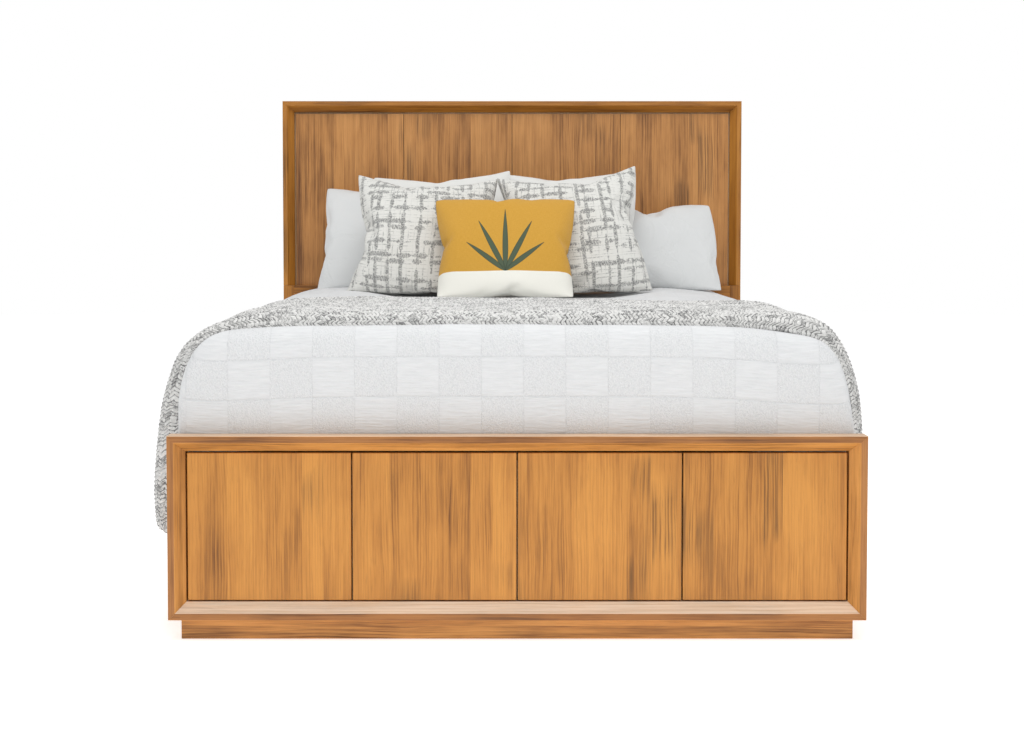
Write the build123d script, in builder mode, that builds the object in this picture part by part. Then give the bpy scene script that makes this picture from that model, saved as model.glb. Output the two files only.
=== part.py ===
"""Queen platform bed with four drawers in the footboard, dressed with its bedding.

Millimetres, +Z up, +X to the sleeper's left as seen from the foot, foot end towards -Y.
The origin is on the floor under the middle of the bed.
"""
import os
from math import cos, radians, sin, tan

from build123d import *

os.makedirs("parts", exist_ok=True)

# ---- driving dimensions -------------------------------------------------
bed_width = 1676
bed_length = 2160
moulding_depth = 54
moulding_width = 39
band_width = 16
bevel_depth = 30
easing = 1.5
joint_line = 0.4

footboard_bottom = 51
footboard_top = 495
headboard_top = 1450
headboard_field_bottom = 777

front_thickness = 20
front_side_gap = 4
front_top_gap = 5
front_bottom_gap = 3.5
front_easing = 2
front_seam = 3.5

board = 18
thin_board = 12
cabinet_depth = 600
cabinet_clearance = 5
drawer_depth = 560
drawer_height = 240
drawer_bottom_z = 110
drawer_floor = (10, 16)
runner_space = 12.7
runner_length = 550

rail_thickness = 25
rail_inset = 16
rail_top = 455
deck_top = 447
slat_thickness = 18
slat_width = 80
slat_count = 14
ledger_height = 40
beam_height = 90

mattress_width = 1524
mattress_length = 2032
mattress_height = 285
mattress_rounding = 80
coverlet_thickness = 7
throw_thickness = 24
throw_reach = (115, 1060)
pillow_lean = 28
accent_lean = 38
pillow_corner = 60
pillow_rounding = 40

# ---- places worked out from them ---------------------------------------
half_width = bed_width / 2
foot = -bed_length / 2
head = bed_length / 2
foot_back = foot + moulding_depth
head_front = head - moulding_depth
field_half = half_width - moulding_width
mattress_top = deck_top + mattress_height
mattress_middle = (foot_back + head_front) / 2
rail_outer = half_width - rail_inset
rail_inner = rail_outer - rail_thickness
slat_bottom = deck_top - slat_thickness


def finish(piece, name):
    """Label a finished sub-part and write it."""
    piece.part.label = name
    export_step(piece.part, f"parts/{name}.step")


def plank(x, y, z, ease=easing):
    """A board between pairs of x, y and z, with eased long edges."""
    with BuildPart() as piece:
        with BuildSketch(Plane.XY.offset(z[0])):
            with Locations(((x[0] + x[1]) / 2, (y[0] + y[1]) / 2)):
                Rectangle(x[1] - x[0], y[1] - y[0])
        extrude(amount=z[1] - z[0])
        if ease:
            fillet(piece.edges(), ease)
    return piece


# ---- the bevelled picture-frame moulding --------------------------------
def moulding_outline(side):
    """Corners of the moulding, as (distance in from the outer edge, depth back from the face)."""
    outline = [(0, 0), (band_width, 0), (moulding_width, bevel_depth)]
    outline += [(moulding_width, moulding_depth), (0, moulding_depth)]
    return outline if side > 0 else list(reversed(outline))


def frame_rail(face_y, outer_z, inward):
    """A level member with its face at face_y and its outer edge at outer_z; inward is -1 for a top."""
    with BuildPart() as piece:
        with BuildSketch(Plane.YZ.offset(-half_width)):
            with BuildLine():
                points = [(face_y + depth, outer_z + inward * across)
                          for across, depth in moulding_outline(inward)]
                Polyline(*points, close=True)
            make_face()
            fillet(vertices(), easing)
        extrude(amount=bed_width)
        for side in (-1, 1):
            corner = (side * (half_width - joint_line / 2), face_y, outer_z)
            split(bisect_by=Plane(corner, z_dir=(side, 0, inward)), keep=Keep.BOTTOM)
    return piece


def frame_stile(face_y, side, bottom_z, top_z, bottom_mitre=True):
    """An upright member on one side (-1 or +1), mitred at the top and, if asked, at the bottom."""
    with BuildPart() as piece:
        with BuildSketch(Plane.XY.offset(bottom_z)):
            with BuildLine():
                points = [(side * (half_width - across), face_y + depth)
                          for across, depth in moulding_outline(-side)]
                Polyline(*points, close=True)
            make_face()
            fillet(vertices(), easing)
        extrude(amount=top_z - bottom_z)
        upper = Plane((side * half_width, face_y, top_z), z_dir=(side, 0, -1))
        split(bisect_by=upper, keep=Keep.TOP)
        if bottom_mitre:
            lower = Plane((side * half_width, face_y, bottom_z), z_dir=(side, 0, 1))
            split(bisect_by=lower, keep=Keep.TOP)
    return piece


def bore_dowels(piece, depth):
    """Blind holes for the rail dowels, each way from the end of a side rail."""
    with BuildPart() as bored:
        add(piece.part)
        for side in (-1, 1):
            for end_y in (foot_back, head_front):
                for z in dowel_heights:
                    with BuildSketch(Plane.XZ.offset(-end_y - depth)):
                        with Locations((side * dowel_x, z)):
                            Circle(dowel_radius)
                    extrude(amount=2 * depth, mode=Mode.SUBTRACT)
    return bored


dowel_radius = 5
dowel_reach = 20
dowel_x = (rail_inner + rail_outer) / 2
dowel_heights = (140, 360)

# ---- footboard ----------------------------------------------------------
finish(frame_rail(foot, footboard_top, -1), "footboard_top_rail")
finish(frame_rail(foot, footboard_bottom, 1), "footboard_bottom_rail")
for side, name in ((-1, "left"), (1, "right")):
    stile = frame_stile(foot, side, footboard_bottom, footboard_top)
    finish(bore_dowels(stile, dowel_reach), f"footboard_{name}_stile")

# ---- plinth, set back under the footboard and the rails -----------------
plinth_inset = 27
plinth_outer = half_width - plinth_inset
plinth_x = (plinth_outer - board, plinth_outer)
plinth_y = (foot + plinth_inset, foot + plinth_inset + board)
cabinet_y = (foot_back + cabinet_clearance, foot_back + cabinet_clearance + cabinet_depth)
finish(plank((-plinth_outer, plinth_outer), plinth_y, (0, footboard_bottom)), "plinth_front")
for side, name in ((-1, "left"), (1, "right")):
    span = sorted((side * plinth_x[0], side * plinth_x[1]))
    finish(plank(span, (plinth_y[1], head_front), (0, footboard_bottom)), f"plinth_{name}")
inner_plinth = (-plinth_x[0], plinth_x[0])
finish(plank(inner_plinth, (cabinet_y[1] - board, cabinet_y[1]), (0, footboard_bottom)), "plinth_back")

# ---- side rails, ledgers and dowels -------------------------------------
rail_y = (foot_back, head_front)
ledger_z = (slat_bottom - ledger_height, slat_bottom)
for side, name in ((-1, "left"), (1, "right")):
    span = sorted((side * rail_inner, side * rail_outer))
    side_rail = plank(span, rail_y, (footboard_bottom, rail_top), ease=0)
    with BuildPart() as eased_rail:
        add(side_rail.part)
        fillet(eased_rail.edges().filter_by(Axis.Y), easing)
    finish(bore_dowels(eased_rail, dowel_reach), f"side_rail_{name}")

ledger_thickness = 25
ledger_length = head_front - cabinet_y[1]
with BuildPart() as ledgers:
    with BuildSketch(Plane.XY.offset(ledger_z[0])):
        ledger_x = rail_inner - ledger_thickness / 2
        with Locations(*[(s * ledger_x, cabinet_y[1] + ledger_length / 2) for s in (-1, 1)]):
            Rectangle(ledger_thickness, ledger_length)
    extrude(amount=ledger_z[1] - ledger_z[0])
finish(ledgers, "ledgers")

with BuildPart() as rail_dowels:
    for end_y in rail_y:
        with BuildSketch(Plane.XZ.offset(-end_y - dowel_reach)):
            with Locations(*[(s * dowel_x, z) for s in (-1, 1) for z in dowel_heights]):
                Circle(dowel_radius)
        extrude(amount=2 * dowel_reach)
finish(rail_dowels, "rail_dowels")

# ---- drawer cabinet behind the footboard --------------------------------
cabinet_z = (footboard_bottom + board, slat_bottom - board)
finish(plank((-rail_inner, rail_inner), (foot_back, cabinet_y[1]), (footboard_bottom, cabinet_z[0])),
       "cabinet_bottom")
finish(plank((-rail_inner, rail_inner), cabinet_y, (cabinet_z[1], slat_bottom)), "cabinet_top")
finish(plank((-rail_inner, rail_inner), (cabinet_y[1] - thin_board, cabinet_y[1]), cabinet_z),
       "cabinet_back")

cell_width = (2 * rail_inner - 5 * board) / 4
upright_centres = [(index - 2) * (cell_width + board) for index in range(5)]
with BuildPart() as cabinet_uprights:
    with BuildSketch(Plane.XY.offset(cabinet_z[0])):
        upright_depth = cabinet_depth - thin_board
        with Locations(*[(x, cabinet_y[0] + upright_depth / 2) for x in upright_centres]):
            Rectangle(board, upright_depth)
    extrude(amount=cabinet_z[1] - cabinet_z[0])
finish(cabinet_uprights, "cabinet_uprights")

# ---- drawers: two-member runners, box, bottom and front -----------------
channel_height = 45
channel_depth = 9
channel_wall = 1.5
member_height = 35
member_clearance = 1.5
runner_rise = 70
runner_set_back = 2
runner_middle = drawer_bottom_z + runner_rise
runner_start = cabinet_y[0] + runner_set_back

with BuildPart() as fixed_runners:
    with BuildSketch(Plane.XZ.offset(-runner_start - runner_length)):
        for centre in upright_centres:
            for side in (-1, 1):
                wall = centre + side * board / 2
                if abs(wall) > rail_inner - 1:
                    continue
                with Locations((wall + side * channel_depth / 2, runner_middle)):
                    Rectangle(channel_depth, channel_height)
                with Locations((wall + side * (channel_depth + channel_wall) / 2, runner_middle)):
                    Rectangle(channel_depth - channel_wall, channel_height - 2 * channel_wall,
                              mode=Mode.SUBTRACT)
    extrude(amount=runner_length)
finish(fixed_runners, "fixed_runners")

front_width = (2 * field_half - 2 * front_side_gap - 3 * front_seam) / 4
front_z = (footboard_bottom + moulding_width + front_bottom_gap,
           footboard_top - moulding_width - front_top_gap)
front_y = (foot + bevel_depth, foot + bevel_depth + front_thickness)
box_y = (front_y[1], front_y[1] + drawer_depth)
box_z = (drawer_bottom_z, drawer_bottom_z + drawer_height)
box_half = cell_width / 2 - runner_space

for number in range(4):
    name = f"drawer_{number + 1}"
    left = -field_half + front_side_gap + number * (front_width + front_seam)
    finish(plank((left, left + front_width), front_y, front_z, front_easing), f"{name}_front")

    middle = (upright_centres[number] + upright_centres[number + 1]) / 2
    with BuildPart() as drawer_box:
        with BuildSketch(Plane.XY.offset(box_z[0])):
            centre_y = (box_y[0] + box_y[1]) / 2
            with Locations((middle - box_half + thin_board / 2, centre_y),
                           (middle + box_half - thin_board / 2, centre_y)):
                Rectangle(thin_board, drawer_depth)
        extrude(amount=drawer_height)
        sides = drawer_box.part
    with BuildPart() as drawer_ends:
        with BuildSketch(Plane.XY.offset(box_z[0])):
            with Locations((middle, box_y[0] + thin_board / 2), (middle, box_y[1] - thin_board / 2)):
                Rectangle(2 * (box_half - thin_board), thin_board)
        extrude(amount=drawer_height)
    drawer_box.part = Part(children=[*sides.solids(), *drawer_ends.part.solids()])
    finish(drawer_box, f"{name}_box")

    inside = (middle - box_half + thin_board, middle + box_half - thin_board)
    floor_y = (box_y[0] + thin_board, box_y[1] - thin_board)
    floor_z = (box_z[0] + drawer_floor[0], box_z[0] + drawer_floor[1])
    finish(plank(inside, floor_y, floor_z, ease=0), f"{name}_bottom")

    member = runner_space - channel_wall - member_clearance
    with BuildPart() as moving_runners:
        with BuildSketch(Plane.XZ.offset(-runner_start - runner_length)):
            with Locations((middle - box_half - member / 2, runner_middle),
                           (middle + box_half + member / 2, runner_middle)):
                Rectangle(member, member_height)
        extrude(amount=runner_length)
    finish(moving_runners, f"{name}_runners")

# ---- headboard ----------------------------------------------------------
finish(frame_rail(head_front, headboard_top, -1), "headboard_top_rail")
leg_width = 38
glide = 4
glide_radius = 15
for side, name in ((-1, "left"), (1, "right")):
    stile = frame_stile(head_front, side, headboard_field_bottom, headboard_top, bottom_mitre=False)
    finish(stile, f"headboard_{name}_stile")
    span = sorted((side * (half_width - leg_width), side * half_width))
    leg = plank(span, (head_front, head), (glide, headboard_field_bottom - joint_line))
    finish(bore_dowels(leg, dowel_reach), f"headboard_{name}_leg")

lower_rail_z = (250, headboard_field_bottom - joint_line)
lower_rail_half = half_width - leg_width - joint_line / 2
finish(plank((-lower_rail_half, lower_rail_half), (head_front, head_front + 30), lower_rail_z),
       "headboard_lower_rail")

# The planks and their backing lap down behind the lower rail, so that no light shows under them.
plank_gap = 5
plank_seam = 2
plank_lap = 25
plank_bottom = headboard_field_bottom - plank_lap
plank_width = (2 * field_half - 2 * plank_gap - 3 * plank_seam) / 4
plank_y = (head_front + bevel_depth, head_front + bevel_depth + thin_board)
field_top = headboard_top - moulding_width
for number in range(4):
    left = -field_half + plank_gap + number * (plank_width + plank_seam)
    finish(plank((left, left + plank_width), plank_y, (plank_bottom, field_top - plank_gap)),
           f"headboard_plank_{number + 1}")
finish(plank((-field_half, field_half), (plank_y[1], head), (plank_bottom, field_top), ease=0),
       "headboard_backing")

# ---- deck: slats, centre beam, legs and glides --------------------------
slat_first = foot_back + 20 + slat_width / 2
slat_last = head_front - 15 - slat_width / 2
slat_pitch = (slat_last - slat_first) / (slat_count - 1)
with BuildPart() as slats:
    with BuildSketch(Plane.XY.offset(slat_bottom)):
        with Locations(*[(0, slat_first + index * slat_pitch) for index in range(slat_count)]):
            Rectangle(2 * rail_inner - 4, slat_width)
    extrude(amount=slat_thickness)
    fillet(slats.edges().filter_by(Axis.X), easing)
finish(slats, "slats")

beam_width = 40
beam_bottom = slat_bottom - beam_height
finish(plank((-beam_width / 2, beam_width / 2), (cabinet_y[1], head_front), (beam_bottom, slat_bottom)),
       "centre_beam")
leg_places = [(0, cabinet_y[1] + 450), (0, cabinet_y[1] + 1000)]
with BuildPart() as centre_legs:
    with BuildSketch(Plane.XY.offset(glide)):
        with Locations(*leg_places):
            Rectangle(beam_width, beam_width)
    extrude(amount=beam_bottom - glide)
finish(centre_legs, "centre_legs")

with BuildPart() as glides:
    with BuildSketch():
        headboard_legs = [(s * (half_width - leg_width / 2), head - moulding_depth / 2) for s in (-1, 1)]
        with Locations(*leg_places, *headboard_legs):
            Circle(glide_radius)
    extrude(amount=glide)
finish(glides, "glides")

# ---- steel corner brackets between the rails and the headboard ----------
bracket_z = (270, 380)
bracket_reach = 60
bracket_steel = 3
bolt_from_rail = 36
bolt_radius = 6
bolt_head = 4
with BuildPart() as corner_brackets:
    with BuildSketch(Plane.XY.offset(bracket_z[0])):
        for side in (-1, 1):
            with Locations((side * (rail_inner - bracket_reach / 2), head_front - bracket_steel / 2)):
                Rectangle(bracket_reach, bracket_steel)
            with Locations((side * (rail_inner - bracket_steel / 2), head_front - bracket_reach / 2)):
                Rectangle(bracket_steel, bracket_reach)
    extrude(amount=bracket_z[1] - bracket_z[0])
finish(corner_brackets, "corner_brackets")

bolt_heights = (295, 355)
with BuildPart() as bracket_bolts:
    with BuildSketch(Plane.XZ.offset(-head_front + bracket_steel)):
        bolt_x = rail_inner - bolt_from_rail
        with Locations(*[(s * bolt_x, z) for s in (-1, 1) for z in bolt_heights]):
            RegularPolygon(bolt_radius, 6)
    extrude(amount=bolt_head)
finish(bracket_bolts, "bracket_bolts")

# ---- mattress -----------------------------------------------------------
mattress_y = (mattress_middle - mattress_length / 2, mattress_middle + mattress_length / 2)
with BuildPart() as mattress:
    with BuildSketch(Plane.XY.offset(deck_top)):
        with Locations((0, mattress_middle)):
            RectangleRounded(mattress_width, mattress_length, mattress_rounding + 10)
    extrude(amount=mattress_height)
    fillet(mattress.faces().sort_by(Axis.Z)[-1].edges(), mattress_rounding)
    fillet(mattress.faces().sort_by(Axis.Z)[0].edges(), mattress_rounding / 4)
finish(mattress, "mattress")

# ---- coverlet and throw: hung over the mattress as arched shells ---------
coverlet_top = 757
coverlet_arch = [(450, coverlet_top), (620, 751), (705, 740), (767, 708), (799, 655)]
coverlet_arch += [(819, 583), (836, 507), (845, 440), (845, 330)]
coverlet_y = (foot_back + 2, head_front - 4)
tuck_bottom = 460


def both_sides(half_arch):
    """The whole arch, left hem to right hem, from its right half."""
    return [(-x, z) for x, z in reversed(half_arch)] + list(half_arch)


def draped_shell(half_arch, thickness, y):
    """A cloth of one thickness along an arch, from y[0] to y[1]; the arch is its outer line."""
    with BuildPart() as piece:
        with BuildSketch(Plane.XZ.offset(-y[1])):
            with BuildLine() as cloth:
                Polyline(*both_sides(half_arch))
                offset(amount=thickness, side=Side.RIGHT)
            make_face()
        extrude(amount=y[1] - y[0])
    return piece


with BuildPart() as coverlet:
    add(draped_shell(coverlet_arch, coverlet_thickness, coverlet_y).part)
    with BuildSketch(Plane.XZ.offset(-coverlet_y[0] - coverlet_thickness)):
        with BuildLine():
            tuck = [point for point in coverlet_arch if point[1] > tuck_bottom]
            Polyline(*both_sides([*tuck, (tuck[-1][0], tuck_bottom)]), close=True)
        make_face()
    extrude(amount=coverlet_thickness)
finish(coverlet, "coverlet")

throw_top = 787
throw_arch = [(450, throw_top), (660, 780), (750, 757), (811, 716), (850, 668)]
throw_arch += [(882, 600), (902, 535), (914, 450), (919, 337), (910, 222)]
throw_y = (foot + throw_reach[0], foot + throw_reach[1])
finish(draped_shell(throw_arch, throw_thickness, throw_y), "throw")


# ---- pillows: leaning against the headboard, row in front of row ---------
def pillow(middle_x, width, height, thickness, lean, base_y, base_z=coverlet_top + 1):
    """A leaning rounded slab whose lowest back edge stands at base_y, base_z."""
    up = (sin(radians(lean)), cos(radians(lean)))
    front = (-up[1], up[0])
    y = base_y + height / 2 * up[0] + thickness / 2 * front[0]
    z = base_z + height / 2 * up[1] + thickness / 2 * front[1]
    with BuildPart() as piece:
        with BuildSketch(Plane((middle_x, y, z), x_dir=(1, 0, 0), z_dir=(0, *front))):
            RectangleRounded(width, height, pillow_corner)
        extrude(amount=thickness / 2, both=True)
        broad_faces = piece.faces().filter_by(GeomType.PLANE).sort_by(SortBy.AREA)[-2:]
        fillet(broad_faces.edges(), pillow_rounding)
    return piece


pillow_reach = 400
pillow_clearance = 1
accent_set_forward = 70
thick_row = 150
thin_row = 130


def next_row(base, thickness):
    """Where the row in front of one this thick stands."""
    return base - (thickness + pillow_clearance) / cos(radians(pillow_lean))


sleeping_base = plank_y[0] - joint_line - pillow_reach * tan(radians(pillow_lean))
back_base = next_row(sleeping_base, thick_row)
patterned_base = next_row(back_base, thin_row)
accent_base = next_row(patterned_base, thick_row) - accent_set_forward
pillows = {
    "sleeping_pillow_left": (-350, 660, 388, thick_row, pillow_lean, sleeping_base),
    "sleeping_pillow_right": (380, 680, 330, thick_row, pillow_lean, sleeping_base),
    "back_pillow_left": (-248, 484, 427, thin_row, pillow_lean, back_base),
    "back_pillow_right": (240, 470, 427, thin_row, pillow_lean, back_base),
    "patterned_pillow_left": (-292, 475, 410, thick_row, pillow_lean, patterned_base),
    "patterned_pillow_right": (214, 460, 420, thick_row, pillow_lean, patterned_base),
    "accent_pillow": (-26, 450, 380, 120, accent_lean, accent_base),
}
for name, sizes in pillows.items():
    finish(pillow(*sizes), name)
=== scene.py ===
import bisect
import math

import bmesh
import bpy
from mathutils import Matrix, Vector, noise


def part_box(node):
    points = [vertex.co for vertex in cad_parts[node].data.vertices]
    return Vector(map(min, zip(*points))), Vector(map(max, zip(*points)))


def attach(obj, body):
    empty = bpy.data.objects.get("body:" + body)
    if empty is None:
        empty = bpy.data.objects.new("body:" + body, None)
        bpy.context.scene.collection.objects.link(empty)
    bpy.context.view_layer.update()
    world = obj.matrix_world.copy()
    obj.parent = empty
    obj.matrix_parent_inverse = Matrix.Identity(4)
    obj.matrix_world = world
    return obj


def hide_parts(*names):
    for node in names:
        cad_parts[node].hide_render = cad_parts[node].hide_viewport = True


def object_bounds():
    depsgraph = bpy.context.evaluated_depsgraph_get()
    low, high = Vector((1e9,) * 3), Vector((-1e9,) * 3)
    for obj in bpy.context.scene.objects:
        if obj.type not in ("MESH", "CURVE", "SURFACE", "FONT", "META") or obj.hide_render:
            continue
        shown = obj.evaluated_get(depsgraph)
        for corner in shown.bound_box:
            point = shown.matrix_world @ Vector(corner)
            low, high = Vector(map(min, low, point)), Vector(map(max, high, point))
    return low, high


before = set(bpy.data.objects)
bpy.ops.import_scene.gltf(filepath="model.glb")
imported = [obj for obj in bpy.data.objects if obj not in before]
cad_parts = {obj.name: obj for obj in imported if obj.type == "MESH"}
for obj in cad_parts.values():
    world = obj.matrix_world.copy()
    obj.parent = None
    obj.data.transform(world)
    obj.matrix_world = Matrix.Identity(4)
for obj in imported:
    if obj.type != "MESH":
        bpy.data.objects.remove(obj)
cad_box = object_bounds()

# ---- viewpoint, floor and light ------------------------------------------------------
# The bed is seen square-on from its foot, from a metre up, with a normal lens held nearly
# level, and it stands on a white studio floor under broad soft light.
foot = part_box("footboard_top_rail")[0][1]
camera_distance = 3.876
camera_height = 1.0
camera_aside = -0.036
camera_dip = math.radians(2.56)
camera_data = bpy.data.cameras.new("camera")
camera_data.sensor_width = 36
camera_data.lens = 57.375
camera_data.shift_x = 0.0095703125
camera_data.shift_y = -0.06591796875
camera = bpy.data.objects.new("camera", camera_data)
camera.location = (camera_aside, foot - camera_distance, camera_height)
camera.rotation_euler = (math.pi / 2 - camera_dip, 0, 0)
bpy.context.scene.collection.objects.link(camera)
bpy.context.scene.camera = camera
bpy.context.scene.view_settings.view_transform = "Standard"


def shade(tree, kind, inputs=None, **settings):
    """A shader node with its settings made and its inputs filled or linked."""
    made = tree.nodes.new("ShaderNode" + kind)
    for key, value in settings.items():
        setattr(made, key, value)
    for key, value in (inputs or {}).items():
        if isinstance(value, bpy.types.NodeSocket):
            tree.links.new(value, made.inputs[key])
        else:
            made.inputs[key].default_value = value
    return made


def maths(tree, operation, *values):
    """The result of a Math node on sockets or numbers."""
    return shade(tree, "Math", dict(enumerate(values)), operation=operation).outputs[0]


def times(tree, first, second):
    """The product of two sockets or numbers."""
    return maths(tree, "MULTIPLY", first, second)


def new_material(name, roughness):
    """A material with a Principled shader, and its node tree."""
    material = bpy.data.materials.new(name)
    material.use_nodes = True
    surface = material.node_tree.nodes["Principled BSDF"]
    surface.inputs["Roughness"].default_value = roughness
    return material, material.node_tree, surface


def new_piece(name, mesh):
    """An object for a finished mesh, at the origin."""
    piece = bpy.data.objects.new(name, mesh)
    bpy.context.scene.collection.objects.link(piece)
    return piece


floor_mesh = bpy.data.meshes.new("studio_floor")
sheet = bmesh.new()
floor_radius = 14
floor_gap = 0.0005
bmesh.ops.create_circle(sheet, cap_ends=True, segments=64, radius=floor_radius)
bmesh.ops.translate(sheet, verts=sheet.verts, vec=(0, 0, cad_box[0][2] - floor_gap))
sheet.to_mesh(floor_mesh)
sheet.free()
floor = new_piece("studio_floor", floor_mesh)
floor_paint, _, surface = new_material("floor_paint", 0.9)
surface.inputs["Base Color"].default_value = (0.93, 0.93, 0.93, 1)
surface.inputs["Emission Color"].default_value = (1, 1, 1, 1)
surface.inputs["Emission Strength"].default_value = 0.55
floor.data.materials.append(floor_paint)

world = bpy.data.worlds.new("studio")
world.use_nodes = True
world.node_tree.nodes["Background"].inputs["Color"].default_value = (1, 1, 1, 1)
seen = world.node_tree.nodes.new("ShaderNodeLightPath").outputs["Is Camera Ray"]
room_glow, backdrop_glow = 0.54, 1.0
glow = maths(world.node_tree, "MULTIPLY_ADD", seen, backdrop_glow - room_glow, room_glow)
world.node_tree.links.new(glow, world.node_tree.nodes["Background"].inputs["Strength"])
bpy.context.scene.world = world


def softbox(name, place, aim, size, power):
    """A large square lamp at place, facing aim."""
    lamp = bpy.data.lights.new(name, "AREA")
    lamp.shape = "SQUARE"
    lamp.size = size
    lamp.energy = power
    holder = bpy.data.objects.new(name, lamp)
    holder.location = place
    holder.rotation_euler = (Vector(aim) - Vector(place)).to_track_quat("-Z", "Y").to_euler()
    bpy.context.scene.collection.objects.link(holder)


softbox("ceiling_light", (0, -1.2, 4.0), (0, -0.8, 0.5), 2.6, 80)
softbox("front_light", (0.2, -4.6, 2.6), (0, -0.5, 0.6), 2.4, 24)


# ---- stained pine: every show face of the bed ----------------------------------------
# The bed is pine, glued up from narrow lamellas, stained honey brown and finished in satin
# lacquer. The grain runs along each member, so the mitred frame turns its grain at corners.


def noise_at(tree, place, scale, detail=2.0, roughness=0.5):
    """Smooth noise, sampled at place."""
    return shade(tree, "TexNoise", {"Vector": place, "Scale": scale, "Detail": detail,
                                    "Roughness": roughness}).outputs["Fac"]


def spread(tree, value, low, high, start=0.0, end=1.0):
    """Carries value from the range low to high onto start to end, held at both ends."""
    return shade(tree, "MapRange", {0: value, 1: low, 2: high, 3: start, 4: end}).outputs[0]


def blend(tree, share, first, second):
    """The first colour turning into the second as share goes from 0 to 1."""
    return shade(tree, "Mix", {0: share, 6: first, 7: second}, data_type="RGBA").outputs[2]


def join(tree, x=0.0, y=0.0, z=0.0):
    """A vector made of three values."""
    return shade(tree, "CombineXYZ", {0: x, 1: y, 2: z}).outputs[0]


def stretch(tree, place, scale):
    """Scales place differently along each axis."""
    return shade(tree, "Mapping", {"Vector": place, "Scale": scale}).outputs[0]


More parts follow.
